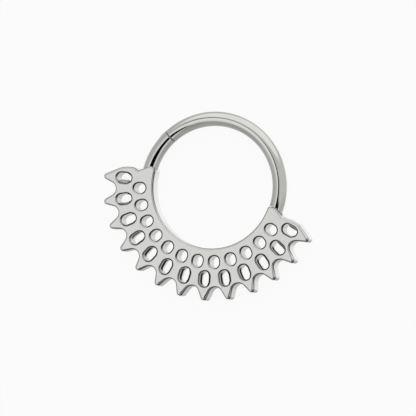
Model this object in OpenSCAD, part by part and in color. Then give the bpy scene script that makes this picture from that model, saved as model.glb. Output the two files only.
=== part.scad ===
// Hinged clicker ring: a pierced, spiked fan with a fixed length of hoop,
// a bar that swings open on a blind pin, and a straight click seam.
// It lies on the back of the fan: +Z is the ring's axis, the fan points to -Y.

/* [Hoop] */
// Inner diameter of the hoop
hoop_inner_d = 10; // [9.8:0.1:10.2]
// Diameter of the round wire
wire_d = 1.2; // [1.1:0.05:1.3]
// Height of the wire's centre above the back of the fan
wire_z = 0.84; // [0.8:0.02:0.86]
// Angle of the click seam, counter-clockwise from +X
seam_angle = 149; // [140:1:155]

/* [Fan] */
// Thickness of the fan
fan_t = 1.5; // [1.48:0.02:1.6]
// Number of spikes, each with an oval hole
spikes = 13; // [12:1:13]
// Angle from the first spike to the last
fan_span = 157.74; // [157:0.2:158.4]
// How far the inner wall of the fan stands inside the wire
fan_lip = 0.02; // [0.01:0.01:0.04]

/* [Spikes] */
// Bottom of the valleys, from the inside of the hoop
valley_rise = 3.19; // [3.1:0.05:3.3]
// Radius of the round valleys
valley_r = 0.574; // [0.5:0.02:0.6]
// Centre of the round tips, from the inside of the hoop
tip_rise = 4; // [3.9:0.05:4.2]
// Radius of the round tips
tip_r = 0.27; // [0.2:0.01:0.3]

/* [Holes] */
// Centre of the oval holes, from the inside of the hoop
oval_rise = 2.52; // [2.45:0.05:2.55]
// Length of the oval holes, along the spike
oval_l = 1.25; // [1.1:0.05:1.3]
// Width of the oval holes
oval_w = 0.86; // [0.7:0.02:0.9]
// Centre of the round holes, from the inside of the hoop
round_rise = 1.14; // [1.1:0.02:1.2]
// Length of the round holes, along the radius
round_l = 0.98; // [0.84:0.02:1.0]
// Width of the round holes
round_w = 0.82; // [0.7:0.02:0.82]

/* [Hinge] */
// Radius of the hinge pin
pin_r = 0.2; // [0.15:0.01:0.2]
// Radial clearance of the pin in the bar
pin_play = 0.03; // [0.02:0.01:0.05]
// Thickness of the bar's tongues
tongue_t = 0.5; // [0.4:0.02:0.5]
// Radius of the hinge tongue's round end, also half its width
knuckle_r = 0.36; // [0.32:0.01:0.36]
// Gap between the bar and the fan
gap = 0.04; // [0.03:0.01:0.05]
// Depth of metal left between the pin and the front of the fan
pin_cover = 0.16; // [0.1:0.01:0.2]
// How far the bar swings open, in degrees
swing = 45; // [30:1:45]

/* [Hidden] */
$fn = 96;
steel = "silver";
// Point at a distance and an angle
function polar(r, a) = [r * cos(a), r * sin(a)];

inner_r = hoop_inner_d / 2;
wire_r = wire_d / 2;
centre_r = inner_r + wire_r;
pitch = fan_span / (spikes - 1);
first_spike = 270 - fan_span / 2;
// far enough past a face to cut it cleanly
past = 0.5;
// straight edges cross the arcs that they run into at a slight angle, so no face is a sliver
ease = 0.98;
// solid ring that the spikes stand on
band_r = inner_r + valley_rise + 0.25;
valley_c = polar(inner_r + valley_rise + valley_r, pitch / 2);
tip_c = [inner_r + tip_rise, 0];

// The last spike's own frame: u runs out along the spike, v away from the fan
end_spike = 270 + fan_span / 2;

// The ends differ: the right one, with the hinge, is trimmed lower. Lists give the right, then the left.
RIGHT = 0;
LEFT = 1;
// Shoulder of the end spikes: a shallow arc over the last oval hole, then a straight flank
shoulder_r = [3.2, 2.7];
shoulder_top = [[inner_r + 2.55, 0.8], [inner_r + 2.05, 0.95]];
shoulder_out = inner_r + 3;
// Point on the shoulder's side, and its slope: the left one ends in a notch, the right one in the horn
side_at = [[inner_r + 1.1, 0.56], [inner_r + 1.413, 0.711]];
side_slope = 35;

// Horn: the narrow end of the fan, which the wire comes out of
horn_r = 0.31;
horn_at = [[inner_r + 0.63, -0.41], [inner_r + 0.43, -0.19]];
horn_slope = -36;
horn_flare_l = 1.25;

// Hinge pin, and the way that the hinge tongue leaves it when shut
pin_at = [inner_r + 1.1, -0.83];
tongue_way = 115;
tongue_reach = 1.3;
slot_t = tongue_t + 2 * gap;
slot_r = knuckle_r + gap;
slot_reach = 2;
pin_fit = 0.01;

// Click: a flat tongue on the bar, in a slot that is open at the end and on the outside of the fixed wire
click_l = 0.5;
click_slot_l = 0.55;
click_wall = 0.2;
// the fixed wire starts inside the fan's left end, short of the first hole
wire_root = 190;
bar_root = -8;
seam_gap = gap / centre_r * 180 / PI;

// Stadium along X, the shape of every hole
module stadium(l, w) {
    square([l - w, w], center = true);
    for (s = [-1, 1]) translate([s * (l - w) / 2, 0]) circle(d = w);
}

// Direction of the radius that meets a straight edge which leaves arc r0 at c0 and joins arc r1 at c1
function crossing(c0, r0, c1, r1) = atan2(c1[1] - c0[1], c1[0] - c0[0]) - acos((r0 + r1) / norm(c1 - c0));

// One spike along +X: straight flanks from the round tip to the round valleys
module spike() {
    a = crossing(valley_c, ease * valley_r, tip_c, ease * tip_r);
    foot = valley_c + polar(ease * valley_r, a);
    top = tip_c - polar(ease * tip_r, a);
    // sunk a little into the band, and short of the next spike's base
    base = polar(band_r - 0.05, 0.45 * pitch);
    polygon([
        [inner_r + 2, 0], [base[0], -base[1]], [foot[0], -foot[1]], [top[0], -top[1]], top, foot, base
    ]);
    translate(tip_c) circle(tip_r);
}

// Part of a disc between two angles less than 180 apart
module sector(r, a0, a1) {
    intersection() {
        circle(r);
        polygon([[0, 0], polar(3 * r, a0), polar(3 * r, (a0 + a1) / 2), polar(3 * r, a1)]);
    }
}

// End of the fan, drawn on the right: the horn, grown by g, and the flare that runs down to the shoulder
module horn(side, g) {
    r = horn_r + g;
    c = horn_at[side];
    top = c[1] + ease * r;
    arc_end = c + polar(ease * r, horn_slope + 90);
    flare_end = arc_end + polar(horn_flare_l, horn_slope);
    translate(c) circle(r);
    polygon([
        [inner_r - past, top], [c[0], top], c, arc_end, flare_end,
        [flare_end[0], -inner_r / 3], [inner_r - past, -inner_r / 3]
    ]);
}

// Outer half of an end spike, drawn on the right, in the spike's own frame
module end_flank(side) {
    r = shoulder_r[side];
    c = shoulder_top[side] - [0, r];
    out_v = c[1] + sqrt(pow(r, 2) - pow(shoulder_out - c[0], 2));
    to_tip = tip_c - [shoulder_out, out_v];
    flank = atan2(to_tip[1], to_tip[0]) + asin(ease * tip_r / norm(to_tip));
    top = tip_c + polar(ease * tip_r, flank + 90);
    // where the shoulder's side and the flank would meet, above the shoulder
    from = side_at[side];
    k = (out_v - from[1] + (from[0] - shoulder_out) * tan(flank)) / (tan(side_slope) - tan(flank));
    peak = from + [k, k * tan(side_slope)];
    // the flank's lower edge and its root both end inside the metal
    low = -0.1;
    root = from - [0.4, 0.4 * tan(side_slope)];
    difference() {
        polygon([[root[0], low], root, peak, top, [top[0], low]]);
        difference() {
            translate([root[0], 0]) square([shoulder_out + 0.3 - root[0], 2 * peak[1]]);
            translate(c) circle(r, $fn = 240);
        }
    }
}

// Outline of the fan without its holes
module fan_outline() {
    difference() {
        union() {
            sector(band_r, first_spike - 3, 271);
            sector(band_r, 269, end_spike + 3);
            for (i = [0:spikes - 1]) rotate(first_spike + i * pitch) spike();
            for (side = [RIGHT, LEFT]) mirror([side, 0]) {
                rotate(end_spike) end_flank(side);
                difference() {
                    horn(side, 0);
                    polygon([[0, 0], polar(3 * inner_r, 270), polar(3 * inner_r, end_spike - 1)]);
                }
            }
        }
        circle(inner_r - fan_lip);
        for (i = [0:spikes - 2]) rotate(first_spike + (i + 0.5) * pitch)
            translate([inner_r + valley_rise + valley_r, 0]) circle(valley_r);
    }
}

// Both rows of holes
module holes() {
    for (i = [0:spikes - 1]) rotate(first_spike + i * pitch)
        translate([inner_r + oval_rise, 0]) stadium(oval_l, oval_w);
    for (i = [0:spikes - 2]) rotate(first_spike + (i + 0.5) * pitch)
        translate([inner_r + round_rise, 0]) stadium(round_l, round_w);
}

// Round wire of the hoop from one angle to another
module wire(a0, a1) {
    translate([0, 0, wire_z]) rotate(a0) rotate_extrude(angle = a1 - a0)
        translate([centre_r, 0]) circle(wire_r, $fn = 48);
}

// Layer t thick, centred on the wire, as high as a tongue or its slot
module layer(t) {
    translate([0, 0, wire_z - t / 2]) linear_extrude(t) children();
}

// Space that the hinge tongue sweeps in the fan
module hinge_slot() {
    left = polar(ease * slot_r, tongue_way + 90);
    right = polar(ease * slot_r, tongue_way - swing - 90);
    layer(slot_t) translate(pin_at) {
        circle(slot_r);
        polygon([
            [0, 0], left, left + polar(slot_reach, tongue_way),
            polar(slot_reach * 1.5, tongue_way - swing / 2),
            right + polar(slot_reach, tongue_way - swing), right
        ]);
    }
}

// Wedge of space across the wire, from the seam back over a length of the fixed end
module past_seam(l) {
    a = l / centre_r * 180 / PI;
    difference() {
        sector(centre_r + wire_r + past, seam_angle - seam_gap, seam_angle + a);
        circle(inner_r - past);
    }
}

// Pierced fan and the fixed length of hoop, one casting
module fan_body() {
    color(steel) difference() {
        union() {
            linear_extrude(fan_t) difference() {
                fan_outline();
                holes();
            }
            wire(seam_angle, wire_root);
        }
        hinge_slot();
        translate([pin_at[0], pin_at[1], -past])
            cylinder(r = pin_r + pin_fit, h = fan_t - pin_cover + past);
        layer(slot_t) difference() {
            past_seam(click_slot_l);
            circle(inner_r + click_wall);
        }
    }
}

// Bar that swings open, with a tongue at each end
module hinged_bar() {
    color(steel) difference() {
        union() {
            difference() {
                wire(bar_root, seam_angle + click_l / centre_r * 180 / PI);
                translate([0, 0, wire_z - wire_d]) linear_extrude(2 * wire_d) horn(RIGHT, gap);
                for (z = [wire_z + tongue_t / 2, wire_z - tongue_t / 2 - wire_d])
                    translate([0, 0, z]) linear_extrude(wire_d) past_seam(2 * click_l);
                layer(slot_t) intersection() {
                    past_seam(2 * click_l);
                    circle(inner_r + click_wall + gap);
                }
            }
            layer(tongue_t) translate(pin_at) {
                circle(knuckle_r);
                rotate(tongue_way) translate([0, -ease * knuckle_r])
                    square([tongue_reach, 2 * ease * knuckle_r]);
            }
        }
        translate([pin_at[0], pin_at[1], -past]) cylinder(r = pin_r + pin_play, h = fan_t + 2 * past);
    }
}

// Plain hinge pin, let in flush from the back and blind at the front
module hinge_pin() {
    color(steel) translate([pin_at[0], pin_at[1], 0])
        cylinder(r = pin_r, h = fan_t - pin_cover - pin_fit);
}

fan_body();
hinged_bar();
hinge_pin();
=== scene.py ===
import math

import bpy
import numpy as np
from mathutils import Matrix, Vector
from mathutils.geometry import delaunay_2d_cdt


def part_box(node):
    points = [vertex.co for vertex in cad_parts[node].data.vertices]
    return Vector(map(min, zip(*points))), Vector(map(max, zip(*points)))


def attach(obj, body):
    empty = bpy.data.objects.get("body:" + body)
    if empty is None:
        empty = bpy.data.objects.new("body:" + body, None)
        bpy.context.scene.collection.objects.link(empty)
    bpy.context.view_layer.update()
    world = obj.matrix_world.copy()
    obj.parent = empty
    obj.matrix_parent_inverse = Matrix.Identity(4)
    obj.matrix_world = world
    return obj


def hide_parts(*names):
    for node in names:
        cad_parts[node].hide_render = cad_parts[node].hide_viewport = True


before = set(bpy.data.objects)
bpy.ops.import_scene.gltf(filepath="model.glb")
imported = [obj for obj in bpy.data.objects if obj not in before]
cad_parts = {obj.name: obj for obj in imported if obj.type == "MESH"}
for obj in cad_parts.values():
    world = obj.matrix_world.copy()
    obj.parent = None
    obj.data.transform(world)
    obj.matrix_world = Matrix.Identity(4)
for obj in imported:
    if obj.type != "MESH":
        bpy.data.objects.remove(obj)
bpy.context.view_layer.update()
scene = bpy.context.scene

# The viewpoint.
# The ring lies on its back, and a far camera looks down on it, a little from its right,
# with the fan turned clockwise from straight down. Sizes are in millimetres.
MM = 0.001
camera_turn = math.radians(16.32)
camera_drop = math.radians(-3.36)
camera_roll = math.radians(17.8)
camera_distance = 400 * MM
sensor_width = 36
# the picture is 416 pixels wide, and shows 12.29 of them to a millimetre
picture_width = 416 / 12.29
# where the hoop's centre lies in the picture
hoop_right_of_middle = 0.285
hoop_above_middle = 1.731


def ring_z(node):
    """Lowest and highest point of a node above the table, in millimetres."""
    low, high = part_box(node)
    return low.z / MM, high.z / MM


fan_t = ring_z("fan_body")[1]
view = (Matrix.Rotation(camera_roll, 3, "Z") @ Matrix.Rotation(camera_turn, 3, "Y")
        @ Matrix.Rotation(-camera_drop, 3, "X"))
to_right, to_top, to_camera = (np.array(view.col[i]) for i in range(3))
aim = np.array([0, 0, fan_t]) - hoop_right_of_middle * to_right - hoop_above_middle * to_top

camera = bpy.data.objects.new("camera", bpy.data.cameras.new("camera"))
camera.data.sensor_width = sensor_width
camera.data.lens = sensor_width * camera_distance / (picture_width * MM)
camera.data.clip_start = 0.01
camera.data.clip_end = 20
camera.matrix_world = Matrix.Translation(Vector(aim * MM + to_camera * camera_distance)) @ view.to_4x4()
scene.collection.objects.link(camera)
scene.camera = camera

# The light tent.
# A tent of white cloth goes round the ring, brighter above it and duller below, with soft cards
# in it and one dark opening for the lens. Polished steel shows little else than this tent.
scene.view_settings.view_transform = "Standard"
tent_grey = 0.665
# each card reaches from one place to another, in degrees right of the lens and above it, and is
# even to its radius about that line, with a soft edge outside it
cards = [
    {"from": (140, 60), "to": (125, 85), "radius": 12, "edge": 30, "grey": 0.94},
    {"from": (60, 145), "to": (-85, 125), "radius": 8, "edge": 12, "grey": 0.90},
    {"from": (-12, 62), "to": (25, 65), "radius": 26, "edge": 18, "grey": 0.87},
    {"from": (-45, 100), "to": (15, 112), "radius": 3, "edge": 12, "grey": 0.72},
    {"from": (15, 5), "to": (95, 20), "radius": 12, "edge": 14, "grey": 0.72},
    {"from": (-37, -9), "to": (-37, -9), "radius": 9, "edge": 26, "grey": 0.85},
    {"from": (-50, -78), "to": (40, -78), "radius": 20, "edge": 26, "grey": 0.58},
    {"from": (-14, -50), "to": (-6, -54), "radius": 5, "edge": 10, "grey": 0.53},
    {"from": (8, -38), "to": (31, -22), "radius": 3, "edge": 13, "grey": 0.79},
    {"from": (-14, -4.5), "to": (13, -14), "radius": 7, "edge": 4, "grey": 0.01},
    {"from": (-10, -10), "to": (-9, -25), "radius": 7.5, "edge": 4, "grey": 0.01},
    {"from": (5, -14), "to": (-4, -22), "radius": 7, "edge": 4, "grey": 0.01},
    {"from": (-19, 4.5), "to": (-25, 9), "radius": 4.2, "edge": 2.5, "grey": 0.02},
    {"from": (-29, 14), "to": (-38, 22), "radius": 2, "edge": 3, "grey": 0.42},
]
# polished steel gives back this much of what it mirrors
steel_gives_back = 0.80
backdrop_grey = 0.98


def light_of(grey):
    """Amount of light that a screen shows as this grey, where 1 is white, by the sRGB curve."""
    return ((grey + 0.055) / 1.055) ** 2.4


def toward(right, above):
    """Direction that lies so many degrees right of the lens and above it, as seen from the ring.

    The two angles are the parts of one turn away from the lens: the turn is their root of
    squares, and its sense is the angle whose tangent is above / right."""
    turn = math.radians(math.hypot(right, above))
    sense = math.atan2(above, right)
    aside = math.cos(sense) * to_right + math.sin(sense) * to_top
    return math.cos(turn) * to_camera + math.sin(turn) * aside


class Nodes:
    """Adds nodes to a tree, sets their inputs, and links those that are given as sockets.

    An input is named as Blender names it, with _ for a space, or by its number, as in i0."""

    def __init__(self, tree):
        self.tree = tree
        tree.nodes.clear()

    def add(self, kind, settings=None, **inputs):
        node = self.tree.nodes.new(kind)
        for name, value in (settings or {}).items():
            setattr(node, name, value)
        for name, value in inputs.items():
            key = int(name[1:]) if name[0] == "i" and name[1:].isdigit() else name.replace("_", " ")
            if isinstance(value, bpy.types.NodeSocket):
                self.tree.links.new(value, node.inputs[key])
            else:
                node.inputs[key].default_value = value
        return node


def chord(degrees):
    """Straight distance between two points of the unit sphere that many degrees apart."""
    return 2 * math.sin(math.radians(degrees) / 2)


def card_share(card):
    """How much of a card is seen one way, from 0 to 1: full near the line between its ends.

    The nearest point of that line to the way w is start + t (end - start), brought back to the
    sphere, where t is w . (end - start) as a share of its range between the two ends."""
    start, end = toward(*card["from"]), toward(*card["to"])
    nearest = start
    if card["from"] != card["to"]:
        span = end - start
        dot = tent.add("ShaderNodeVectorMath", {"operation": "DOT_PRODUCT"}, i0=way, i1=span)
        t = tent.add("ShaderNodeMapRange", Value=dot.outputs["Value"],
                     From_Min=start @ span, From_Max=end @ span)
        along = tent.add("ShaderNodeMix", {"data_type": "VECTOR"}, i0=t.outputs[0], i4=start, i5=end)
        unit = tent.add("ShaderNodeVectorMath", {"operation": "NORMALIZE"}, i0=along.outputs[1])
        nearest = unit.outputs[0]
    off = tent.add("ShaderNodeVectorMath", {"operation": "DISTANCE"}, i0=way, i1=nearest)
    share = tent.add("ShaderNodeMapRange", {"interpolation_type": "SMOOTHSTEP"},
                     Value=off.outputs["Value"], From_Min=chord(card["radius"] + card["edge"]),
                     From_Max=chord(card["radius"]))
    return share.outputs[0]


world = bpy.data.worlds.new("light_tent")
scene.world = world
world.use_nodes = True
tent = Nodes(world.node_tree)
way = tent.add("ShaderNodeTexCoord").outputs["Generated"]
glow = light_of(tent_grey) / steel_gives_back
for card in cards:
    glow = tent.add("ShaderNodeMix", i0=card_share(card), i2=glow,
                    i3=light_of(card["grey"]) / steel_gives_back).outputs[0]
# the lens itself sees plain paper behind the table, and never the tent
sees = tent.add("ShaderNodeLightPath").outputs["Is Camera Ray"]
shown = tent.add("ShaderNodeMix", i0=sees, i2=glow, i3=light_of(backdrop_grey)).outputs[0]
sky = tent.add("ShaderNodeBackground", Color=shown)
tent.add("ShaderNodeOutputWorld", Surface=sky.outputs[0])

lamp_distance = 300 * MM


def soft_lamp(name, right, above, width, power):
    """Square area lamp at lamp_distance in the given direction, facing the ring."""
    lamp = bpy.data.objects.new(name, bpy.data.lights.new(name, "AREA"))
    lamp.data.size = width * MM
    lamp.data.energy = power
    direction = Vector(toward(right, above))
    lamp.location = direction * lamp_distance
    lamp.rotation_euler = direction.to_track_quat("Z", "Y").to_euler()
    # it lights the table, while the steel mirrors the tent alone
    lamp.visible_glossy = False
    scene.collection.objects.link(lamp)


soft_lamp("soft_lamp", -20, 45, 240, 0.12)

# The table.
# A white sheet that glows a little, as the tent's floor is lit from below too, so that the
# ring's shadow on it stays faint.
table_half = 3.0
table_drop = 0.00001
table_white = 0.05
table_glow = 0.93


def table_mesh():
    """Flat square just under the ring's back."""
    mesh = bpy.data.meshes.new("table")
    corners = table_half * np.array([[-1, -1, 0], [1, -1, 0], [1, 1, 0], [-1, 1, 0]])
    mesh.from_pydata(corners + [0, 0, -table_drop], [], [[0, 1, 2, 3]])
    return mesh


table = bpy.data.objects.new("table", table_mesh())
paper = bpy.data.materials.new("table_paper")
paper.use_nodes = True
sheet = Nodes(paper.node_tree)
matt = sheet.add("ShaderNodeBsdfDiffuse", Color=(table_white, table_white, table_white, 1))
lit = sheet.add("ShaderNodeEmission", Color=(1, 1, 1, 1), Strength=table_glow)
both = sheet.add("ShaderNodeAddShader", i0=matt.outputs[0], i1=lit.outputs[0])
sheet.add("ShaderNodeOutputMaterial", Surface=both.outputs[0])
table.data.materials.append(paper)
table.visible_glossy = False
scene.collection.objects.link(table)

# The fan's casting.
# A cast steel fan with thirteen spikes and two rows of holes, tumbled and polished so that all
# its edges are round, and cast in one with the short fixed length of the hoop on its left.
inner_r = 5.0
spikes = 13
fan_span = 157.74
edge_r = 0.15
rim_r = 0.125
valley_r = 0.574
valley_from = inner_r + 3.19 + valley_r
tip_r = 0.27
tip_from = inner_r + 4
shoulder_out = inner_r + 3
shoulder_fillet = 0.5
horn_r = 0.31
horn_slope = -36
# the inner wall is a little wider than the hoop, and a little to its right
wall_r = inner_r + 0.02
# the right end, with the hinge, is trimmed lower, and has no notch beside its shoulder. Each end
# has the top and radius of the shoulder's arc, the centre of the horn's round tip, the round
# between the horn and the inner wall, and how far that wall's centre is moved outward
right_end = {"top": (inner_r + 2.55, 0.8), "r": 3.2, "horn": (inner_r + 0.63, -0.41), "fillet": 0.2,
             "wall": 0.025}
left_end = {"top": (inner_r + 2.05, 0.95), "r": 2.7, "horn": (inner_r + 0.43, -0.19), "fillet": 0.4,
            "wall": -0.025, "notch": (inner_r + 1.413, 0.711), "slope": 35}
# a hole's rise is from the hoop's inner circle to its centre
oval = {"rise": 2.52, "length": 1.25, "width": 0.86}
round_hole = {"rise": 1.14, "length": 0.98, "width": 0.82}
arc_step = 6
# what differs by less is the same, in an outline and in a flat face
rounding = 1e-9
same_point = 1e-7
pitch = fan_span / (spikes - 1)
wire_low, wire_high = ring_z("hinged_bar")
wire_r = (wire_high - wire_low) / 2
wire_z = (wire_high + wire_low) / 2
# the hinge's slot, open for the tongue's whole swing in degrees, and the blind hole for the pin
hinge_at = np.array([inner_r + 1.1, -0.83])
slot_half = 0.29
slot_r = 0.40
tongue_way = 115
swing = 45
bore_r = 0.21
bore_top = fan_t - 0.16
bore_edge = 0.02


def polar(r, angle):
    """Points at distance r from the origin, at angles in degrees, counter-clockwise from +X."""
    a = np.radians(angle)
    return np.stack([r * np.cos(a), r * np.sin(a)], axis=-1)


def angle_of(p):
    """Angle of a vector in degrees."""
    return math.degrees(math.atan2(p[1], p[0]))


def arc(centre, r, start, end, inside=False, step=arc_step):
    """Points on a circle from one angle to another, each with the direction out of the metal.

    That direction is the radius, or against it where the metal is outside the circle."""
    n = max(2, math.ceil(abs(end - start) / step) + 1)
    ray = polar(1, np.linspace(start, end, n))
    return np.asarray(centre) + r * ray, -ray if inside else ray


def chain(*stretches):
    """Joins stretches of an outline, each a pair of points and directions, end to end."""
    points = np.concatenate([p for p, _ in stretches])
    outs = np.concatenate([n for _, n in stretches])
    same = np.all(np.abs(points - np.roll(points, 1, axis=0)) < rounding, axis=1)
    same &= np.all(np.abs(outs - np.roll(outs, 1, axis=0)) < rounding, axis=1)
    return points[~same], outs[~same]


def turned(outline, angle):
    """The outline turned about the origin by an angle in degrees."""
    c, s = polar(1, angle)
    turn = np.array([[c, s], [-s, c]])
    return outline[0] @ turn, outline[1] @ turn


def mirrored(outline, axis):
    """The outline mirrored by changing the sign of one coordinate, run the other way."""
    sign = np.ones(2)
    sign[axis] = -1
    return outline[0][::-1] * sign, outline[1][::-1] * sign


def meet(centre, r, point, direction, far):
    """Where a line meets a circle: the near or the far one of the two points along the line."""
    d = polar(1, direction)
    w = point - centre
    middle = -np.dot(w, d)
    half = math.sqrt(max(0, middle ** 2 - np.dot(w, w) + r ** 2))
    return point + d * (middle + half if far else middle - half)


def half_spike():
    """Half of a spike on +X: round tip, straight flank, round valley.

    The flank is the line that is tangent to both circles and passes between them."""
    valley = polar(valley_from, pitch / 2)
    tip = np.array([tip_from, 0])
    between = tip - valley
    a = angle_of(between) - math.degrees(math.acos((valley_r + tip_r) / np.linalg.norm(between)))
    bottom = pitch / 2 - 180
    return chain(arc(tip, tip_r, 0, a + 180), arc(valley, valley_r, a, bottom, inside=True))


def fan_end(end):
    """End of the fan after its last tip, drawn on the right: shoulder, flare, horn, inner wall.

    Tip and shoulder are in the last spike's frame. Each outer corner is an arc whose centre lies
    its own radius inside both of the lines that it joins."""
    turn = fan_span / 2 - 90
    c = np.array(end["top"]) - [0, end["r"]]
    bend = np.array([shoulder_out, c[1] + math.sqrt(end["r"] ** 2 - (shoulder_out - c[0]) ** 2)])
    tip = np.array([tip_from, 0])
    to_tip = tip - bend
    flank = angle_of(to_tip) + math.degrees(math.asin(tip_r / np.linalg.norm(to_tip)))
    f = shoulder_fillet
    outer = meet(c, end["r"] - f, bend - f * polar(1, flank + 90), flank, far=False)
    # the flare's line, in the spike's frame
    horn = np.array(end["horn"])
    flare_out = horn_slope + 90 - turn
    flare_at = polar(np.linalg.norm(horn), angle_of(horn) - turn) + horn_r * polar(1, flare_out)
    if "notch" in end:
        side = end["slope"] + 90
        notch = np.array(end["notch"])
        inner = meet(c, end["r"] - f, notch - f * polar(1, side), end["slope"], far=True)
        fillet = [arc(inner, f, angle_of(inner - c), side)]
        shoulder_end = angle_of(inner - c)
        lines = np.array([polar(1, side), polar(1, flare_out)])
        corner = np.linalg.solve(lines, [np.dot(lines[0], inner) + f, np.dot(lines[1], flare_at)])
    else:
        fillet = []
        corner = meet(c, end["r"], flare_at, flare_out - 90, far=False)
        side = shoulder_end = angle_of(corner - c)
    spike = chain(
        arc(tip, tip_r, 0, flank + 90),
        arc(outer, f, flank + 90, angle_of(outer - c)),
        arc(c, end["r"], angle_of(outer - c), shoulder_end, step=2),
        *fillet,
        arc(corner, 0, side, flare_out),
    )
    top = horn[1] + horn_r - end["fillet"]
    wall_at = np.array([end["wall"], 0])
    last = wall_at + [math.sqrt((wall_r + end["fillet"]) ** 2 - top ** 2), top]
    return chain(
        turned(spike, turn),
        arc(horn, horn_r, horn_slope + 90, 90),
        arc(last, end["fillet"], 90, angle_of(wall_at - last)),
        arc(wall_at, wall_r, angle_of(last - wall_at), -90, inside=True, step=2),
    )


def fan_outline():
    """Whole outline, counter-clockwise: right half from the middle tip round to the inner wall."""
    up = half_spike()
    down = mirrored(up, 1)
    spikes_of_half = [turned(up, 270)]
    for i in range(1, spikes // 2):
        spikes_of_half += [turned(down, 270 + i * pitch), turned(up, 270 + i * pitch)]
    spikes_of_half += [turned(down, 270 + fan_span / 2)]
    right, left = (chain(*spikes_of_half, fan_end(end)) for end in (right_end, left_end))
    return chain(right, mirrored(left, 0))


def stadium(hole, angle):
    """Outline of a hole with round ends, clockwise, so that the metal lies on its left."""
    r = hole["width"] / 2
    reach = hole["length"] / 2 - r
    at = inner_r + hole["rise"]
    ends = chain(
        arc([at - reach, 0], r, -90, -270, inside=True),
        arc([at + reach, 0], r, 90, -90, inside=True),
    )
    return turned(ends, angle)


def fan_holes():
    """The oval hole of each spike, and a rounder hole between each two."""
    first = 270 - fan_span / 2
    ovals = [stadium(oval, first + i * pitch) for i in range(spikes)]
    rounds = [stadium(round_hole, first + (i + 0.5) * pitch) for i in range(spikes - 1)]
    return ovals + rounds


def leave(outline, start, direction):
    """Where a ray leaves an outline: the side that it crosses, the point, and the way out of the metal.

    The ray start + t d meets the side p + u e where t = (p - start) x e / d x e and
    u = (p - start) x d / d x e, and the least t > 0 with u from 0 to 1 is the crossing."""
    points, outs = outline
    e = np.roll(points, -1, axis=0) - points
    d = polar(1, direction)
    w = points - start
    across = d[0] * e[:, 1] - d[1] * e[:, 0]
    across = np.where(np.abs(across) < rounding, np.nan, across)
    t = (w[:, 0] * e[:, 1] - w[:, 1] * e[:, 0]) / across
    u = (w[:, 0] * d[1] - w[:, 1] * d[0]) / across
    i = int(np.nanargmin(np.where((u >= 0) & (u < 1) & (t > 0), t, np.nan)))
    out = (1 - u[i]) * outs[i] + u[i] * outs[(i + 1) % len(outs)]
    return i, start + t[i] * d, out / np.linalg.norm(out)


def slotted(outline):
    """The outline split where the hinge's slot opens: the length that stays, the length that the
    slot cuts, and the slot's wall, down its right side, round the pin and up its left side."""
    right, left = tongue_way - swing, tongue_way
    foot_right = hinge_at + slot_r * polar(1, right - 90)
    foot_left = hinge_at + slot_r * polar(1, left + 90)
    i, mouth_right, out_right = leave(outline, foot_right, right)
    j, mouth_left, out_left = leave(outline, foot_left, left)
    first = (mouth_right[None], out_right[None])
    last = (mouth_left[None], out_left[None])
    n = len(outline[0])
    stays = np.arange(j + 1, i + 1 + n) % n
    goes = np.arange(i + 1, j + 1)
    kept = chain(last, (outline[0][stays], outline[1][stays]), first)
    cut = chain(first, (outline[0][goes], outline[1][goes]), last)
    wall = chain(
        (mouth_right[None], polar(1, right + 90)[None]),
        arc(hinge_at, slot_r, right - 90, left - 270, inside=True),
        (mouth_left[None], polar(1, left - 90)[None]),
    )
    return kept, cut, wall


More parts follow.
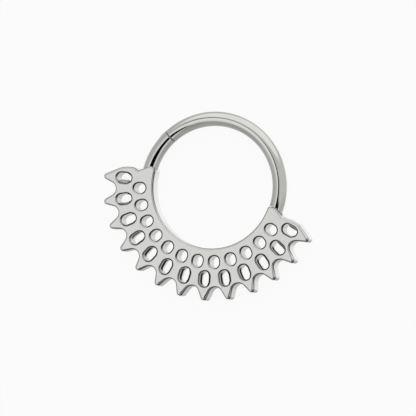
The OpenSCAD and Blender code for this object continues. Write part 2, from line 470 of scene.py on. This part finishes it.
class Shell:
    """Gathers stretches of one surface: points, faces, and the true normal and unshaded share at each
    point.

    The unshaded share is 1 where the steel shows plain, and less where painted shade darkens it towards
    black."""

    def __init__(self):
        self.points = []
        self.normals = []
        self.unshaded = []
        self.faces = []
        self.count = 0

    def grid(self, points, normals, unshaded=1.0, closed=True):
        """Faces between the rows of a grid, of shape rows x columns x 3, whose rows are rings or not."""
        rows, columns = points.shape[:2]
        index = self.count + np.arange(rows * columns).reshape(rows, columns)
        if closed:
            index = np.concatenate([index, index[:, :1]], axis=1)
        a, b, c, d = index[:-1, :-1], index[:-1, 1:], index[1:, 1:], index[1:, :-1]
        triangles = np.concatenate([np.stack([a, b, c], axis=-1), np.stack([a, c, d], axis=-1)])
        unshaded = np.broadcast_to(unshaded, (rows, columns)).ravel()
        self.take(points.reshape(-1, 3), normals.reshape(-1, 3), triangles.reshape(-1, 3), unshaded)

    def cap(self, loops, z, up):
        """Flat face at height z, inside the first loop and outside the others."""
        def raised(flat):
            return np.column_stack([flat, np.full(len(flat), z)])

        self.fill(loops, raised, np.array([0, 0, 1 if up else -1]))

    def fill(self, loops, lift, normal, unshaded=1.0):
        """Flat face, as triangles: inside the first loop, which runs counter-clockwise, and outside
        the others, which run clockwise. lift turns the loops' plane points into points in space."""
        starts = np.cumsum([0] + [len(p) for p in loops])
        rings = [list(range(a, b)) for a, b in zip(starts[:-1], starts[1:])]
        # the triangulation marks what lies left of a ring
        rings = rings[:1] + [ring[::-1] for ring in rings[1:]]
        flat = [Vector(p) for p in np.concatenate(loops)]
        made = delaunay_2d_cdt(flat, [], rings, 1, same_point)
        inside = [len(ids) == 1 and ids[0] == 0 for ids in made[5]]
        triangles = np.array([t for t, keep in zip(made[2], inside) if keep])
        points = lift(np.array([tuple(p) for p in made[0]]))
        a, b, c = (points[triangles[:, i]] for i in range(3))
        if np.cross(b - a, c - a).sum(axis=0) @ normal < 0:
            triangles = triangles[:, ::-1]
        normals = np.tile(normal, (len(points), 1))
        self.take(points, normals, triangles + self.count, np.full(len(points), unshaded))

    def take(self, points, normals, triangles, unshaded):
        self.points.append(points)
        self.normals.append(normals)
        self.unshaded.append(unshaded)
        self.faces.append(triangles)
        self.count += len(points)

    def piece(self, name, body, node, slot, material):
        """Welds the stretches and makes them a piece that stands for a node of the frame."""
        points = np.concatenate(self.points)
        corners = np.concatenate(self.faces)
        places, weld = np.unique(np.round(points / weld_gap).astype(np.int64), axis=0, return_inverse=True)
        faces = weld.reshape(-1)[corners]
        whole = (faces[:, 0] != faces[:, 1]) & (faces[:, 1] != faces[:, 2]) & (faces[:, 2] != faces[:, 0])
        kept = corners[whole]
        mesh = bpy.data.meshes.new(name)
        mesh.from_pydata(places * weld_gap * MM, [], faces[whole].tolist())
        mesh.polygons.foreach_set("use_smooth", np.ones(len(kept), bool))
        mesh.normals_split_custom_set(np.concatenate(self.normals)[kept].reshape(-1, 3).tolist())
        # each corner's unshaded share, which the material turns into painted shade
        unshaded = mesh.attributes.new("unshaded", "FLOAT", "CORNER")
        unshaded.data.foreach_set("value", np.concatenate(self.unshaded)[kept].ravel())
        mesh.materials.append(material)
        made = bpy.data.objects.new(name, mesh)
        scene.collection.objects.link(made)
        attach(made, body)
        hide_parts(node)


weld_gap = 1e-5
round_steps = 6
# heights at which the walls have a row of points, where the slot needs one and the painted shade changes
wall_levels = [0.3, wire_z - slot_half, 0.63, 0.88, wire_z + slot_half, 1.2, 1.28]
# within these distances of a tip's centre, from the outer one to the inner, its edge is rounder
near_tip = (0.7, 0.3)
tip_softness = 0.5
# The unshaded share, 1 for plain steel and less where painted shade darkens it, is given by place: -180 to
# -90 is the back round, -90 to 0 the straight wall from back to front, and 0 to 90 the front round. It also
# depends on the way that a wall faces, in degrees, as edges that look away from the upper left get heavier
# painted shade.
edge_unshaded = ([-180, -90, -20, 0, 20, 45, 75], [1, 0.9, 0.88, 0.5, 0.08, 0.35, 1])
# the fan's walls get this share of the painted shade that the edge table gives, and so much more on the
# side that faces the darker way
loss_share = 0.85
darker_way = -35
darker_share = 0.35
# near the tips the painted shade fades, but edges that face this way keep this much of it
tip_shade_way = 165
tip_shade_keeps = 0.4
# painted shade beside the right half's tips, on the sides that look to the right
beside_tip = (1.1, 0.7)
beside_way = -10
right_half = (-95, -65)
beside_loss = ([-100, -90, -5, 20, 55, 75], [0, 0.22, 0.22, 0.1, 0.2, 0])
# the edge of the right end's shoulder has little painted shade, between two distances from the hoop's
# centre
shoulder_ring = {"in": (6.2, 6.5), "out": (8.4, 7.9), "gain": 0.85}
# and so has that of the inner wall on its lower left, within these angles of the way given next
lighter_inner_way = -118
lighter_inner_reach = (44.8, 16.8)
lighter_inner_gain = 0.75
# unshaded share of the holes' walls by place: the lower it is, the darker the painted shade
hole_unshaded = ([-180, -90, -18, 0, 10, 65, 85], [0.6, 0.75, 0.72, 0.35, 0.03, 0.05, 1])
# on the side of a hole that looks this way, the rim's painted shade is wider
far_rim_way = 198
far_rim_unshaded = ([-180, -90, -18, 0, 80, 89], [0.6, 0.75, 0.72, 0, 0, 0.5])
# the round holes' rims have little painted shade where they face up, and heavy painted shade opposite,
# though never quite black
lighter_rim_way = 73
lighter_rim = 0.85
opposite_way = -63
opposite_rim = 0.1
# the next lists have an entry for each oval, from the left end of the fan to the right
# a dark band of painted shade runs round the middle of the ovals' long sides, except near the fan's ends
band_way = 15
banded = [0] * 3 + [0.85] + [1] * 8 + [0]
oval_unshaded = ([-180, -90, -58, -53, -18, -13, 0, 10, 70, 88],
               [1, 1, 1, 0.025, 0.02, 0.7, 0.7, 0.3, 0.35, 0.9])
# on the far side the ovals' wall stands in a little and its round is larger, most so at the right
# end, where its middle also has less painted shade
far_wall_in = [0.07] * 6 + [0.11] * 3 + [0.07, 0.1, 0.18, 0.22]
far_round = [0.4] * 6 + [0.8] * 3 + [0.4, 0.6, 1.2, 1.4]
far_grey = [0] * 11 + [0.6, 1]
grey_from, grey_to = 12, 70
# in the first ovals the lower wall swells inward, halfway through
low_swell = [0.32, 0.2, 0.12, 0.15] + [0] * 9
# the swollen lower wall has less painted shade, by place
swell_unshaded = ([-90, -5, 8, 65, 85], [1, 1, 0.22, 0.22, 1])
# on the left half the lower left of the ovals' rims also has less painted shade
lighter_oval_way = 38
lighter_ovals = [0.85, 0.8, 0.7, 0.8, 0.8, 0.6, 0.5] + [0] * 6


def side_wall(outline, r, low, high, levels=()):
    """Wall round an outline from one height to another, with a quarter round at either end.

    r is the rounds' radius at each point. Over a round the wall steps in by r (1 - cos a), and
    its height is that of the face less r (1 - sin a). Gives points, normals and each row's place."""
    points, outs = outline
    levels = np.array(levels)
    a = np.linspace(0, 90, round_steps + 1)
    short = (1 - np.sin(np.radians(a)))[:, None] * np.broadcast_to(r, len(points))
    middle = np.broadcast_to(levels[:, None], (len(levels), len(points)))
    z = np.concatenate([low + short[::-1], middle, high - short])
    place = np.concatenate([-90 - a[::-1], 90 * (levels - low) / (high - low) - 90, a])[:, None]
    tilt = np.radians(np.concatenate([-a[::-1], 0 * levels, a]))[:, None]
    inset = (1 - np.cos(tilt)) * np.broadcast_to(r, len(points))
    flat = points[None] - outs[None] * inset[..., None]
    level = outs[None] * np.cos(tilt)[..., None]
    return np.dstack([flat, z]), np.dstack([level, np.broadcast_to(np.sin(tilt), z.shape)]), place


def swell(points, normals, outs, reach):
    """Moves a wall out of the metal by s = reach sin^2(pi z / t), and turns its normals by -ds/dz."""
    turn = np.pi * points[..., 2] / fan_t
    points[..., :2] += (reach * np.sin(turn) ** 2)[..., None] * outs
    normals[..., 2] -= reach * np.pi / fan_t * np.sin(2 * turn) * np.hypot(normals[..., 0], normals[..., 1])
    normals /= np.linalg.norm(normals, axis=2, keepdims=True)


def upright(outline, low, high):
    """Plain wall on an outline between two heights: points and normals."""
    points, outs = outline
    flat = np.stack([points, points])
    z = np.broadcast_to(np.array([low, high])[:, None], flat.shape[:2])
    level = np.stack([outs, outs])
    return np.dstack([flat, z]), np.dstack([level, 0 * z])


def ring(centre, r):
    """Round hole, clockwise."""
    return chain(arc(centre, r, 360, 0, inside=True, step=10))


def ramp(value, start, end):
    """Rises or falls evenly from 0 at start to 1 at end, and stays at each beyond it."""
    return np.clip((value - start) / (end - start), 0, 1)


def facing(outline, way):
    """Cosine of the angle between a given way and the way out of the metal, all along an outline."""
    return outline[1] @ polar(1, way)


def outer_unshaded(outline, place, from_tip):
    """Unshaded share of the wall round the fan, 1 for plain steel and less where painted shade darkens it,
    for each row's place and each point of the outline.
    """
    x, y = outline[0].T
    r, angle = np.hypot(x, y), np.degrees(np.arctan2(y, x))
    darker = ramp(facing(outline, darker_way), 0, 1)
    keeps = darker ** 4 + tip_shade_keeps * ramp(facing(outline, tip_shade_way), 0, 1)
    loss = (1 - np.interp(place, *edge_unshaded)) * (loss_share + darker_share * darker)
    loss *= 1 - ramp(from_tip, *near_tip) * (1 - keeps)
    beside = ramp(from_tip, *beside_tip) * ramp(facing(outline, beside_way), 0, 1) ** 4
    loss += beside * ramp(angle, *right_half) * np.interp(place, *beside_loss)
    shoulder = ramp(r, *shoulder_ring["in"]) * ramp(r, *shoulder_ring["out"])
    last_tip = fan_span / 2 - 90
    shoulder *= ramp(angle, last_tip - 2, last_tip) * (x > 0)
    lighter_inner = ramp(np.abs(angle - lighter_inner_way), *lighter_inner_reach) * (r < inner_r + 0.1)
    loss *= (1 - shoulder_ring["gain"] * shoulder) * (1 - lighter_inner_gain * lighter_inner)
    return np.clip(1 - loss, 0, 1)


def outer_wall(shell, outline, last):
    """Wall round the fan, which is open at the slot's height from the outline's point last on, back
    to its first one. Gives the outline of its rims."""
    tips = polar(tip_from, 270 + pitch * (np.arange(spikes) - spikes // 2))
    from_tip = np.linalg.norm(outline[0][:, None] - tips[None], axis=2).min(axis=1)
    edge = edge_r * (1 + tip_softness * ramp(from_tip, *near_tip))
    points, normals, place = side_wall(outline, edge, 0, fan_t, wall_levels)
    unshaded = outer_unshaded(outline, place, from_tip)
    shell.grid(points[:, :last + 1], normals[:, :last + 1], unshaded[:, :last + 1], closed=False)
    over_slot = np.append(np.arange(last, len(outline[0])), 0)
    low_row = round_steps + 1 + wall_levels.index(wire_z - slot_half)
    high_row = round_steps + 1 + wall_levels.index(wire_z + slot_half)
    for rows in (slice(0, low_row + 1), slice(high_row, None)):
        shell.grid(points[rows, over_slot], normals[rows, over_slot], unshaded[rows, over_slot], closed=False)
    return outline[0] - outline[1] * edge[:, None]


def slot_and_bore(shell, cut, wall):
    """The hinge's slot, from its floor to its roof, and the pin's hole, up from the back and on into
    the roof. Gives the outline of the hole's rim."""
    low, high = wire_z - slot_half, wire_z + slot_half
    shell.grid(*upright(wall, low, high), closed=False)
    bore = ring(hinge_at, bore_r)
    bore_rim = bore[0] - bore[1] * bore_edge
    shell.grid(*side_wall(bore, bore_edge, 0, low)[:2])
    shell.grid(*upright(bore, high, bore_top))
    slot_face = np.concatenate([cut[0], wall[0][-2:0:-1]])
    shell.cap([slot_face, bore_rim], low, up=True)
    shell.cap([slot_face, bore[0]], high, up=False)
    shell.cap([bore[0][::-1]], bore_top, up=False)
    return bore_rim


def rim_by_way(place, far):
    """Unshaded share of a hole's wall by place, where less is painted shade, between those of its near side
    and of its far side.
    """
    return (1 - far) * np.interp(place, *hole_unshaded) + far * np.interp(place, *far_rim_unshaded)


def lighter_walls(unshaded, hole, place):
    """Unshaded share of a hole's wall once the painted shade on the straight part is lifted wherever it
    doesn't face up.
    """
    down = 1 - ramp(facing(hole, lighter_rim_way), -0.25, 0.25)
    return np.where(place < 0, unshaded + down * (1 - unshaded), unshaded)


def round_wall(hole):
    """Wall of a round hole: points, normals, unshaded share (less where painted shade darkens it) and the
    outline of its rims.
    """
    points, normals, place = side_wall(hole, rim_r, 0, fan_t, wall_levels)
    unshaded = rim_by_way(place, ramp(facing(hole, far_rim_way), 0, 0.5))
    unshaded = lighter_walls(unshaded, hole, place)
    lighter = ramp(facing(hole, lighter_rim_way), 0.55, 0.85)
    unshaded = np.where(place > 0, unshaded + lighter * (lighter_rim - unshaded), unshaded)
    opposite = ramp(facing(hole, opposite_way), 1 / 3, 1)
    unshaded = np.maximum(unshaded, opposite_rim * opposite * (place > 0))
    return points, normals, unshaded, hole[0] - hole[1] * rim_r


def oval_wall(hole, i):
    """Wall of the oval in the spike of that number, from the left: as round_wall gives it.

    long_side is 1 where the wall runs along the oval's axis, and 0 at its round ends. far is 1
    where the wall looks the far rim's way. Their product scales what is done to the far side."""
    axis = 270 + pitch * (i - spikes // 2)
    long_side = ramp(facing(hole, axis) ** 2, 5 / 6, 5 / 18)
    far = ramp(facing(hole, far_rim_way), 0, 0.5)
    r = rim_r * (1 + far_round[i] * far * long_side)
    hole = hole[0] + hole[1] * (far_wall_in[i] * far * long_side)[:, None], hole[1]
    points, normals, place = side_wall(hole, r, 0, fan_t, wall_levels)
    low = long_side * (facing(hole, axis - 90) > 0)
    swell(points, normals, hole[1], low_swell[i] * low)
    unshaded = rim_by_way(place, far)
    swollen = low * low_swell[i] / max(low_swell)
    unshaded = np.maximum(unshaded, swollen * np.interp(place, *swell_unshaded))
    middle = (place > grey_from) * (place < grey_to)
    unshaded = np.maximum(unshaded, far_grey[i] * far * long_side * middle)
    unshaded = lighter_walls(unshaded, hole, place)
    band = banded[i] * long_side * ramp(facing(hole, band_way), 0, 0.5)
    unshaded += band * (np.interp(place, *oval_unshaded) - unshaded)
    lighter = ramp(facing(hole, lighter_oval_way), 0.75, 0.95)
    unshaded = np.maximum(unshaded, lighter_ovals[i] * lighter * (place > 0))
    return points, normals, unshaded, hole[0] - hole[1] * r[:, None]


def cast_fan():
    """The fan: its outer wall, the hinge's slot, the walls of its holes, and a flat front and back."""
    shell = Shell()
    kept, cut, slot_wall = slotted(fan_outline())
    rims = [outer_wall(shell, chain(kept, cut), len(kept[0]) - 1)]
    bore_rim = slot_and_bore(shell, cut, slot_wall)
    for i, hole in enumerate(fan_holes()):
        *wall, rim = oval_wall(hole, i) if i < spikes else round_wall(hole)
        shell.grid(*wall)
        rims.append(rim)
    shell.cap(rims, fan_t, up=True)
    shell.cap(rims + [bore_rim], 0, up=False)
    return shell


# near-black colour of the painted shade that darkens the steel where its unshaded share is low
painted_shade_black = (0.012, 0.012, 0.012, 1)


def polished_steel(name, tone, dull):
    """Mirror-bright steel: cloudy tone, roughness that varies, and the faint waves of hand polishing, mixed
    towards a near-black painted shade where the surface's unshaded share is below 1.
    """
    material = bpy.data.materials.new(name)
    material.use_nodes = True
    steel = Nodes(material.node_tree)
    place = steel.add("ShaderNodeTexCoord").outputs["Object"]
    cloud = steel.add("ShaderNodeTexNoise", Vector=place, Scale=900, Detail=6, Roughness=0.8).outputs["Fac"]
    light = [*(c * 1.06 for c in tone), 1]
    dark = [*(c * 0.93 for c in tone), 1]
    colour = steel.add("ShaderNodeMix", {"data_type": "RGBA"}, Factor=cloud, i6=dark, i7=light).outputs[2]
    haze = steel.add("ShaderNodeTexNoise", Vector=place, Scale=2600, Detail=4).outputs["Fac"]
    rough = steel.add("ShaderNodeMapRange", Value=haze, To_Min=dull * 0.6, To_Max=dull * 1.4).outputs[0]
    waves = steel.add("ShaderNodeTexNoise", Vector=place, Scale=1400, Detail=1).outputs["Fac"]
    bump = steel.add("ShaderNodeBump", Strength=0.05, Distance=0.00002, Height=waves).outputs[0]
    metal = steel.add("ShaderNodeBsdfPrincipled", Base_Color=colour, Metallic=1.0, Roughness=rough,
                      Normal=bump)
    # painted shade: a near-black diffuse, mixed in by the surface's unshaded share
    painted_shade = steel.add("ShaderNodeBsdfDiffuse", Color=painted_shade_black)
    unshaded = steel.add("ShaderNodeAttribute", {"attribute_name": "unshaded"}).outputs["Fac"]
    both = steel.add("ShaderNodeMixShader", i0=unshaded, i1=painted_shade.outputs[0], i2=metal.outputs[0])
    steel.add("ShaderNodeOutputMaterial", Surface=both.outputs[0])
    return material


cast_steel = polished_steel("cast_steel", (0.80, 0.80, 0.78), 0.05)
centre_r = inner_r + wire_r
# the wire's two ends, in degrees round the hoop: at the seam, and hidden inside the fan
seam_angle = 149
wire_root = 190
seam_edge = 0.05
# the wire's rounded ends and end faces at the seam get painted shade, down to this unshaded share
seam_unshaded = 0.4
# the click's slot: its length, the wall left on the inside of the hoop, and its corners
click_slot_l = 0.55
click_wall = 0.2
corner_r = 0.05
# degrees of the hoop to one millimetre of its wire
per_mm = 180 / math.pi / centre_r


def wire_section():
    """Section of the round wire, counter-clockwise, as outward and up from its centre."""
    return chain(arc([0, 0], wire_r, -90, 270))


def outer_corner(height, metal):
    """Small circle that rounds the wire's outer corner at a flat cut, with the metal above it (1) or
    below it (-1): its centre, and the angle at which it touches the wire's own circle inside."""
    rise = height + metal * corner_r
    centre = np.array([math.sqrt((wire_r - corner_r) ** 2 - rise ** 2), rise])
    return centre, angle_of(centre)


def cheeks_section():
    """Section of the wire beside the click's slot: a C, open to the outside of the hoop."""
    (c, a), low = outer_corner(slot_half, 1), np.array([1, -1])
    floor = np.array([click_wall - wire_r, slot_half])
    return chain(
        arc(c, corner_r, -90, a),
        arc([0, 0], wire_r, a, 360 - a),
        arc(c * low, corner_r, 360 - a, 450),
        arc(floor * low, 0, 270, 180, inside=True),
        arc(floor, 0, 180, 90, inside=True),
    )


def on_hoop(outward, up, angle):
    """Points at a distance outward from the wire's centre and up from it, at an angle of the hoop."""
    flat = (centre_r + outward)[..., None] * polar(1, angle)
    return np.dstack([flat, wire_z + np.broadcast_to(up, flat.shape[:2])])


def bent(shell, section, start, end, start_edge, end_edge):
    """Length of wire from one angle of the hoop to another, its ends rounded off and closed.

    A section is carried along the hoop's circle. Over the last stretch it draws in by
    e (1 - cos a) while it runs out by e sin a, as a goes from 0 to 90 degrees. The start may be
    an angle for each point of the section, and is then left open."""
    points, outs = section
    start_at = np.broadcast_to(start, len(points))
    a = np.linspace(0, 90, 5)
    back = (1 - np.sin(np.radians(a)))[:, None] * per_mm
    draw = 1 - np.cos(np.radians(a))
    first = start_at + start_edge * back[::-1]
    last = end - end_edge * back + 0 * start_at
    share = np.linspace(0, 1, max(2, math.ceil((end - start_at.min()) / 2)) + 1)[1:-1, None]
    angle = np.concatenate([first, first[-1] + share * (last[0] - first[-1]), last])
    inset = np.concatenate([start_edge * draw[::-1], 0 * share[:, 0], end_edge * draw])[:, None]
    tilt = np.radians(np.concatenate([-a[::-1], 0 * share[:, 0], a]))[:, None]
    rows = on_hoop(points[:, 0] - outs[:, 0] * inset, points[:, 1] - outs[:, 1] * inset, angle)
    sideways = np.dstack([outs[:, 0, None] * polar(1, angle), np.broadcast_to(outs[:, 1], angle.shape)])
    ahead = np.dstack([polar(1, angle + 90), 0 * angle])
    normals = sideways * np.cos(tilt)[..., None] + ahead * np.sin(tilt)[..., None]
    # painted shade on the rounded ends, deepest where they face along the hoop
    unshaded = 1 - (1 - seam_unshaded) * np.abs(np.sin(tilt))
    # the section runs counter-clockwise as seen against the hoop's turn, so the rows are reversed
    shell.grid(rows[:, ::-1], normals[:, ::-1], unshaded)
    closed_ends = [(-1, 1)] if np.ndim(start) else [(0, -1), (-1, 1)]
    for row, side in closed_ends:
        def on_end(flat):
            return on_hoop(flat[None, :, 0], flat[None, :, 1], angle[[row], :1])[0]

        shell.fill([points - outs * inset[row]], on_end, side * ahead[row, 0], seam_unshaded)


def fixed_wire(shell):
    """The hoop's fixed length: a full wire as far as the slot, then the cheeks round the slot."""
    slot_end = seam_angle + click_slot_l * per_mm
    bent(shell, wire_section(), slot_end, wire_root, 0, seam_edge)
    bent(shell, cheeks_section(), seam_angle, slot_end + corner_r * per_mm, seam_edge, corner_r)


casting = cast_fan()
fixed_wire(casting)
casting.piece("cast_fan", "fan", "fan_body", "polished_steel", cast_steel)

# The hinged bar.
# A round steel wire bent to the hoop's circle, with a flat tongue at each end: one turns on the
# hinge pin inside the fan, and the other clicks into the slot across the fixed wire.
gap = 0.04
tongue_half = 0.25
# the hinge's tongue, from the pin into the wire, with its round end and the eye for the pin
tongue_reach = 1.3
tongue_edge = 0.05
root_corner = 0.1
knuckle_r = 0.36
eye_r = 0.23
# the click's tongue, and how far it reaches back into the wire
click_l = 0.5
click_edge = 0.04
click_root = 0.1
click_root_edge = 0.02


def horn_side(r):
    """Where circles of radius r about the hoop's centre leave the horn grown by the gap.

    Over the horn's round tip, at distance g from its centre h, the angle from h is the one whose
    cosine is (r^2 + h^2 - g^2) / 2 r h. Beyond the round the edge is the horn's flat top or the
    flare's line n . p = n . h + g. Gives the angle and the way out of the horn, in degrees."""
    horn = np.array(right_end["horn"])
    g = horn_r + gap
    h = np.linalg.norm(horn)
    flare = horn_slope + 90
    turn = np.degrees(np.arccos(np.clip((r ** 2 + h ** 2 - g ** 2) / (2 * r * h), -1, 1)))
    on_round = angle_of(horn) + turn
    way = polar(1, on_round) * r[:, None] - horn
    way = np.degrees(np.arctan2(way[:, 1], way[:, 0]))
    on_top = np.degrees(np.arcsin((horn[1] + g) / r))
    on_flare = flare - np.degrees(np.arccos((polar(1, flare) @ horn + g) / r))
    beyond = np.where(on_flare < on_top, flare, 90)
    round_here = (way >= flare) & (way <= 90)
    return np.where(round_here, on_round, np.minimum(on_top, on_flare)), np.where(round_here, way, beyond)


def hinge_tongue(shell):
    """Flat tongue from inside the wire to the pin, with a round end and an eye for the pin."""
    ahead, right, left = tongue_way, tongue_way - 90, tongue_way + 90
    root = hinge_at + (tongue_reach - root_corner) * polar(1, ahead)
    aside = knuckle_r - root_corner
    outline = chain(
        arc(hinge_at, knuckle_r, left, left + 180),
        arc(root + aside * polar(1, right), root_corner, right, ahead, step=15),
        arc(root + aside * polar(1, left), root_corner, ahead, left, step=15),
    )
    eye = ring(hinge_at, eye_r)
    low, high = wire_z - tongue_half, wire_z + tongue_half
    for loop in (outline, eye):
        shell.grid(*side_wall(loop, tongue_edge, low, high)[:2])
    rims = [p - n * tongue_edge for p, n in (outline, eye)]
    shell.cap(rims, high, up=True)
    shell.cap(rims, low, up=False)


def click_section():
    """Section of the click's tongue: flat above, below and on the inside, round on the outside."""
    (c, a), low = outer_corner(tongue_half, -1), np.array([1, -1])
    inner = np.array([click_wall + gap + corner_r - wire_r, tongue_half - corner_r])
    return chain(
        arc(c * low, corner_r, -90, -a),
        arc([0, 0], wire_r, -a, a),
        arc(c, corner_r, a, 90),
        arc(inner, corner_r, 90, 180),
        arc(inner * low, corner_r, 180, 270),
    )


def swing_bar():
    """The bar: its round wire from the horn to the seam, and a tongue at either end."""
    shell = Shell()
    seam = seam_angle - gap * per_mm
    section = wire_section()
    start, _ = horn_side(centre_r + section[0][:, 0])
    bent(shell, section, start, seam, 0, seam_edge)
    # upright end wall, between the points of the section's upper half and those below them
    u, v = wire_r * polar(1, np.arange(0, 181, arc_step)).T
    angle, way = horn_side(centre_r + u)
    wall = on_hoop(np.stack([u, u]), np.stack([v, -v]), np.stack([angle, angle]))
    out = np.column_stack([-polar(1, way), 0 * way])
    shell.grid(wall, np.stack([out, out]), closed=False)
    bent(shell, click_section(), seam - click_root * per_mm, seam_angle + click_l * per_mm,
         click_root_edge, click_edge)
    hinge_tongue(shell)
    return shell


bar_steel = polished_steel("bar_steel", (0.79, 0.785, 0.76), 0.05)
swing_bar().piece("swing_bar", "bar", "hinged_bar", "polished_bar", bar_steel)

# The hinge pin.
# A short steel pin, pressed in from the back and ground flush with it, so that its end shows
# the fine rings of turning, about 0.03 mm apart.
turning = 10000


def turned_steel():
    """Duller steel than the casting's, with rings about the pin's axis and a cloudy roughness."""
    material = bpy.data.materials.new("pin_steel")
    material.use_nodes = True
    steel = Nodes(material.node_tree)
    place = steel.add("ShaderNodeTexCoord").outputs["Object"]
    centre = (-hinge_at[0] * MM, -hinge_at[1] * MM, 0)
    about_axis = steel.add("ShaderNodeMapping", Vector=place, Location=centre).outputs[0]
    rings = steel.add("ShaderNodeTexWave", {"wave_type": "RINGS", "rings_direction": "Z"},
                      Vector=about_axis, Scale=turning, Distortion=0.4).outputs["Fac"]
    groove = steel.add("ShaderNodeBump", Strength=0.3, Distance=0.000004, Height=rings).outputs[0]
    haze = steel.add("ShaderNodeTexNoise", Vector=place, Scale=2600, Detail=4).outputs["Fac"]
    rough = steel.add("ShaderNodeMapRange", Value=haze, To_Min=0.12, To_Max=0.26).outputs[0]
    metal = steel.add("ShaderNodeBsdfPrincipled", Base_Color=(0.68, 0.68, 0.67, 1), Metallic=1.0,
                      Roughness=rough, Normal=groove)
    steel.add("ShaderNodeOutputMaterial", Surface=metal.outputs[0])
    return material


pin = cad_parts["hinge_pin"]
pin.data.materials.clear()
pin.data.materials.append(turned_steel())
